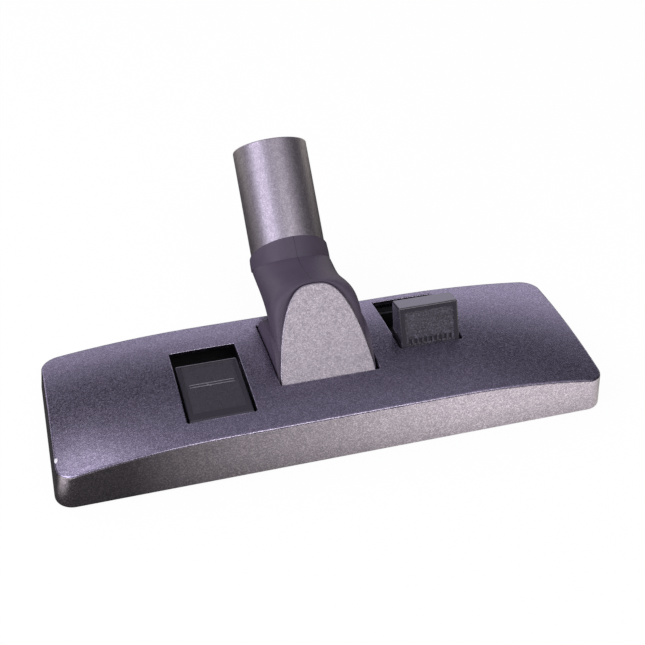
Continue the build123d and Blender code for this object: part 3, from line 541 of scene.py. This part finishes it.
class FLOORHEAD_OT_brush(bpy.types.Operator):
    """Brush frame and its tufts of hair"""
    bl_idname = "floorhead.brush"
    bl_label = "Brush"

    def execute(self, context):
        tones, sizes = context.scene.floor_head_colours, context.scene.floor_head_sizes
        give(moulded("brush_plastic", tones.inner, 0.45), "brush_frame")
        hair = Finish("brush_hair", tones.bristle, roughness=0.42)
        tint = hair.mix(hair.speckle(HAIR_PATCH), shade(tones.bristle, 0.6), shade(tones.bristle, 1.7))
        hair.set(base_color=tint, roughness=hair.vary(hair.noise(HAIR_CLOUD), 0.34, 0.5))
        for row, node in enumerate(("front_bristles", "rear_bristles")):
            made = self.tufts(node, sizes, hair.material, row)
            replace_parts(made, node)
        return {"FINISHED"}

    def tufts(self, node, sizes, material, seed):
        """Three-sided hairs that lean along a slight bend and taper, t from root to tip and a round the hair:

        p(t, a) = root + t^2 lean + t (tip - root) + r taper(t) (cos(a), sin(a), 0).
        """
        low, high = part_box(node)
        chance = np.random.default_rng(seed)
        count = int((high[0] - low[0]) / sizes.tuft_pitch)
        hole = np.linspace(low[0] + sizes.tuft_radius, high[0] - sizes.tuft_radius, count)
        roots = np.repeat(hole, sizes.hairs)
        turn = chance.uniform(0, 2 * np.pi, roots.size)
        spread = np.sqrt(chance.uniform(0, 1, roots.size)) * sizes.tuft_radius
        x, y = roots + spread * np.cos(turn), (low[1] + high[1]) / 2 + spread * np.sin(turn)
        tip = low[2] + chance.uniform(0, HAIR_UNEVEN, roots.size)
        lean = np.stack([chance.normal(0, sway, roots.size) for sway in HAIR_LEAN], axis=1)
        down = np.linspace(0, 1, len(HAIR_TAPER))
        centre = np.stack([
            x[:, None] + lean[:, :1] * down ** 2,
            np.clip(y[:, None] + lean[:, 1:] * down ** 2, low[1] + HAIR_GAP, high[1] - HAIR_GAP),
            high[2] + (tip - high[2])[:, None] * down,
        ], axis=-1)
        angle = np.arange(HAIR_SIDES) * 2 * np.pi / HAIR_SIDES
        ring = np.stack([np.cos(angle), np.sin(angle), np.zeros(HAIR_SIDES)], axis=-1) * HAIR_RADIUS
        points = centre[:, :, None] + ring[None, None] * np.array(HAIR_TAPER)[None, :, None, None]
        faces = grid_faces(len(HAIR_TAPER), HAIR_SIDES, closed_columns=True)
        points, faces = many(points.reshape(roots.size, -1, 3), faces)
        return piece(node + "_hair", points, faces[:, ::-1], material, "brush")


class FLOORHEAD_OT_underside(bpy.types.Operator):
    """Lower housing, sole, lint strips, wheels and axles"""
    bl_idname = "floorhead.underside"
    bl_label = "Underside"

    def execute(self, context):
        tones = context.scene.floor_head_colours
        give(moulded("housing_plastic", tones.inner, 0.48, 0.0009), "chassis")
        give(drawn_steel("sole_steel", tones.steel), "sole_plate")
        pile = Finish("lint_pile", tones.lint, roughness=0.9)
        fluff = pile.noise(PILE_WIDTH, 4.0)
        pile.set(base_color=pile.mix(fluff, shade(tones.lint, 0.4), shade(tones.lint, 1.5)),
                 normal=pile.bump(fluff, PILE_DEPTH, PILE_STRENGTH), roughness=pile.vary(fluff, 0.8, 1.0))
        give(pile.material, "front_lint_strip", "rear_lint_strip")
        give(drawn_steel("axle_steel", tones.steel), "left_axle", "right_axle")
        tread = moulded("wheel_rubber", tones.wheel, 0.7, 0.0004)
        for side in ("left", "right"):
            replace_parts(self.wheel(side, tread), side + "_wheel")
        return {"FINISHED"}

    def wheel(self, side, material):
        """Turned wheel: a closed section with two grooves carried round the axle by the angle a:

        p(i, a) = middle + (across_i, out_i cos(a), out_i sin(a)).
        """
        low, high = (np.array(corner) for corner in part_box(side + "_wheel"))
        middle, half = (low + high) / 2, (high[0] - low[0]) / 2
        radius = (high[2] - low[2]) / 2
        across = np.array([-1, -1, -0.9, -0.5, -0.42, -0.28, -0.2, 0.2, 0.28, 0.42, 0.5, 0.9, 1, 1]) * half
        out = np.array([0, 0.88, 1, 1, 0.93, 0.93, 1, 1, 0.93, 0.93, 1, 1, 0.88, 0]) * radius
        out = np.maximum(out, WHEEL_BORE)
        angle = np.linspace(0, 2 * np.pi, WHEEL_POINTS, endpoint=False)
        points = np.stack([
            np.broadcast_to(across[:, None], (across.size, angle.size)),
            out[:, None] * np.cos(angle), out[:, None] * np.sin(angle)], axis=-1) + middle
        faces = grid_faces(across.size, angle.size, closed_rows=True, closed_columns=True)
        return piece(side + "_tread_wheel", points, faces, material, side + "_wheel", smooth=False)


class FLOORHEAD_OT_mechanism(bpy.types.Operator):
    """Shafts, cranks, slider, spring and screws"""
    bl_idname = "floorhead.mechanism"
    bl_label = "Mechanism"

    def execute(self, context):
        tones = context.scene.floor_head_colours
        give(drawn_steel("shaft_steel", tones.steel), "left_pedal_shaft", "right_pedal_shaft", "detent_spring",
             "cover_screws", "cap_screws")
        give(moulded("crank_plastic", tones.inner, 0.42), "left_shift_crank", "right_shift_crank",
             "left_lift_crank", "right_lift_crank", "shift_slider")
        return {"FINISHED"}


class FLOORHEAD_OT_stage(bpy.types.Operator):
    """Floor, room light, four boxes and the camera"""
    bl_idname = "floorhead.stage"
    bl_label = "Stage"

    def execute(self, context):
        scene, stage = context.scene, context.scene.floor_head_stage
        self.floor()
        self.room(stage)
        for name, (at, size, tone) in BOXES.items():
            self.box(name, at, size, getattr(stage, name), tone)
        lens = bpy.data.cameras.new("camera")
        lens.sensor_width, lens.lens = SENSOR, stage.lens
        lens.clip_start, lens.clip_end = CLIP
        camera = bpy.data.objects.new("camera", lens)
        axes = Matrix((CAMERA_RIGHT, CAMERA_UP, CAMERA_BACK))
        camera.matrix_world = Matrix.Translation(stage.eye) @ axes.transposed().to_4x4()
        scene.collection.objects.link(camera)
        scene.camera = camera
        scene.view_settings.view_transform = "Standard"
        return {"FINISHED"}

    def floor(self):
        """Flat square p(u, v) = (u, v, -drop), white to the camera.

        In gloss it glows as painted pools of light: bright at the front left, in front on the right and far behind.
        """
        u = np.linspace(-FLOOR_HALF, FLOOR_HALF, 3)
        points = np.stack(np.broadcast_arrays(u[:, None], u[None, :], -FLOOR_DROP), axis=-1)
        mesh = bpy.data.meshes.new("floor")
        mesh.from_pydata(points.reshape(-1, 3).tolist(), [], grid_faces(3, 3)[:, ::-1].tolist())
        made = bpy.data.objects.new("floor", mesh)
        bpy.context.scene.collection.objects.link(made)
        paper = Finish("floor_paper", FLOOR_TONE, roughness=0.9)
        path = paper.add("LightPath")
        across, depth = paper.along((1, 0, 0)), paper.along((0, 1, 0))
        # Painted pools of light: the floor glows only in reflections, at the front, behind and at the front left
        front = paper.math("MULTIPLY", paper.span(depth, *FLOOR_FRONT_END), paper.span(across, *FLOOR_FRONT))
        behind = paper.span(depth, *FLOOR_BEHIND)
        left = paper.math("MULTIPLY", paper.span(across, *FLOOR_LEFT), paper.span(depth, *FLOOR_LEFT_END))
        glow_strength = paper.math("ADD", paper.math("ADD", front, behind), left)
        shine = paper.add("Emission", {"Strength": glow_strength}, {"Color": (*FLOOR_GLOSS, 1)})["Emission"]
        white = paper.add("Emission", values={"Strength": 1.0})["Emission"]
        seen = paper.math("MULTIPLY", path["Is Camera Ray"], FLOOR_WHITE)
        one = paper.add("MixShader", {0: path["Is Glossy Ray"], 1: paper.shader.outputs[0], 2: shine})["Shader"]
        both = paper.add("MixShader", {0: seen, 1: one, 2: white})["Shader"]
        paper.tree.links.new(both, paper.tree.nodes["Material Output"].inputs["Surface"])
        mesh.materials.append(paper.material)

    def room(self, stage):
        """Even light for matt surfaces, white to the camera; in gloss it is bright low down and high up."""
        world = bpy.data.worlds.new("room")
        world.use_nodes = True
        world.node_tree.nodes.clear()
        sky = Nodes(world.node_tree)
        path = sky.add("LightPath")
        way = sky.add("SeparateXYZ", {0: sky.add("TexCoord")["Generated"]})
        ends = sky.math("ADD", sky.span(way["Y"], *ROOM_BEHIND), sky.span(way["Y"], *ROOM_FRONT))
        band = sky.math("MULTIPLY", ends, sky.span(way["Z"], *ROOM_LOW))
        level = sky.math("ADD", sky.math("ADD", band, ROOM_LEAST), sky.span(way["Z"], *ROOM_TOP))
        gloss = sky.add("Background", {"Strength": level}, {"Color": (*ROOM_GLOSS, 1)})["Background"]
        even = sky.add("Background", values={"Color": (*ROOM_TONE, 1), "Strength": stage.room})["Background"]
        white = sky.add("Background", values={"Color": (1, 1, 1, 1)})["Background"]
        lit = sky.add("MixShader", {0: path["Is Glossy Ray"], 1: even, 2: gloss})["Shader"]
        sky.add("OutputWorld", {"Surface": sky.add(
            "MixShader", {0: path["Is Camera Ray"], 1: lit, 2: white})["Shader"]})
        bpy.context.scene.world = world

    def box(self, name, at, size, watts, tone):
        """Soft box that looks at the head."""
        lamp = bpy.data.lights.new(name, "AREA")
        lamp.shape, lamp.size, lamp.size_y = "RECTANGLE", size[0], size[1]
        lamp.energy, lamp.color = watts, tone
        made = bpy.data.objects.new(name, lamp)
        back = np.array(at) - np.array(AIM)
        back /= np.linalg.norm(back)
        right = np.cross((0, 0, 1), back)
        right /= np.linalg.norm(right)
        up = np.cross(back, right)
        made.matrix_world = Matrix.Translation(at) @ Matrix((right, up, back)).transposed().to_4x4()
        bpy.context.scene.collection.objects.link(made)


OPERATORS = (FLOORHEAD_OT_cover, FLOORHEAD_OT_pedals, FLOORHEAD_OT_neck, FLOORHEAD_OT_tube, FLOORHEAD_OT_brush,
             FLOORHEAD_OT_underside, FLOORHEAD_OT_mechanism, FLOORHEAD_OT_stage)
GROUPS = {"floor_head_colours": FloorHeadColours, "floor_head_sizes": FloorHeadSizes,
          "floor_head_stage": FloorHeadStage}


class FLOORHEAD_PT_panel(bpy.types.Panel):
    """Lists the pieces of the floor head and their settings"""
    bl_idname = "FLOORHEAD_PT_panel"
    bl_label = "Floor Head"
    bl_space_type = "VIEW_3D"
    bl_region_type = "UI"
    bl_category = "Floor Head"

    def draw(self, context):
        for operator in OPERATORS:
            self.layout.operator(operator.bl_idname)
        for group in GROUPS:
            settings = getattr(context.scene, group)
            for name in settings.bl_rna.properties.keys():
                if name not in ("rna_type", "name"):
                    self.layout.prop(settings, name)


def register():
    for kind in (*GROUPS.values(), *OPERATORS, FLOORHEAD_PT_panel):
        bpy.utils.register_class(kind)
    for name, kind in GROUPS.items():
        setattr(bpy.types.Scene, name, PointerProperty(type=kind))


def unregister():
    for name in GROUPS:
        delattr(bpy.types.Scene, name)
    for kind in (FLOORHEAD_PT_panel, *OPERATORS, *GROUPS.values()):
        bpy.utils.unregister_class(kind)


def main():
    register()
    for operator in OPERATORS:
        group, name = operator.bl_idname.split(".")
        getattr(getattr(bpy.ops, group), name)()


if __name__ == "__main__":
    main()
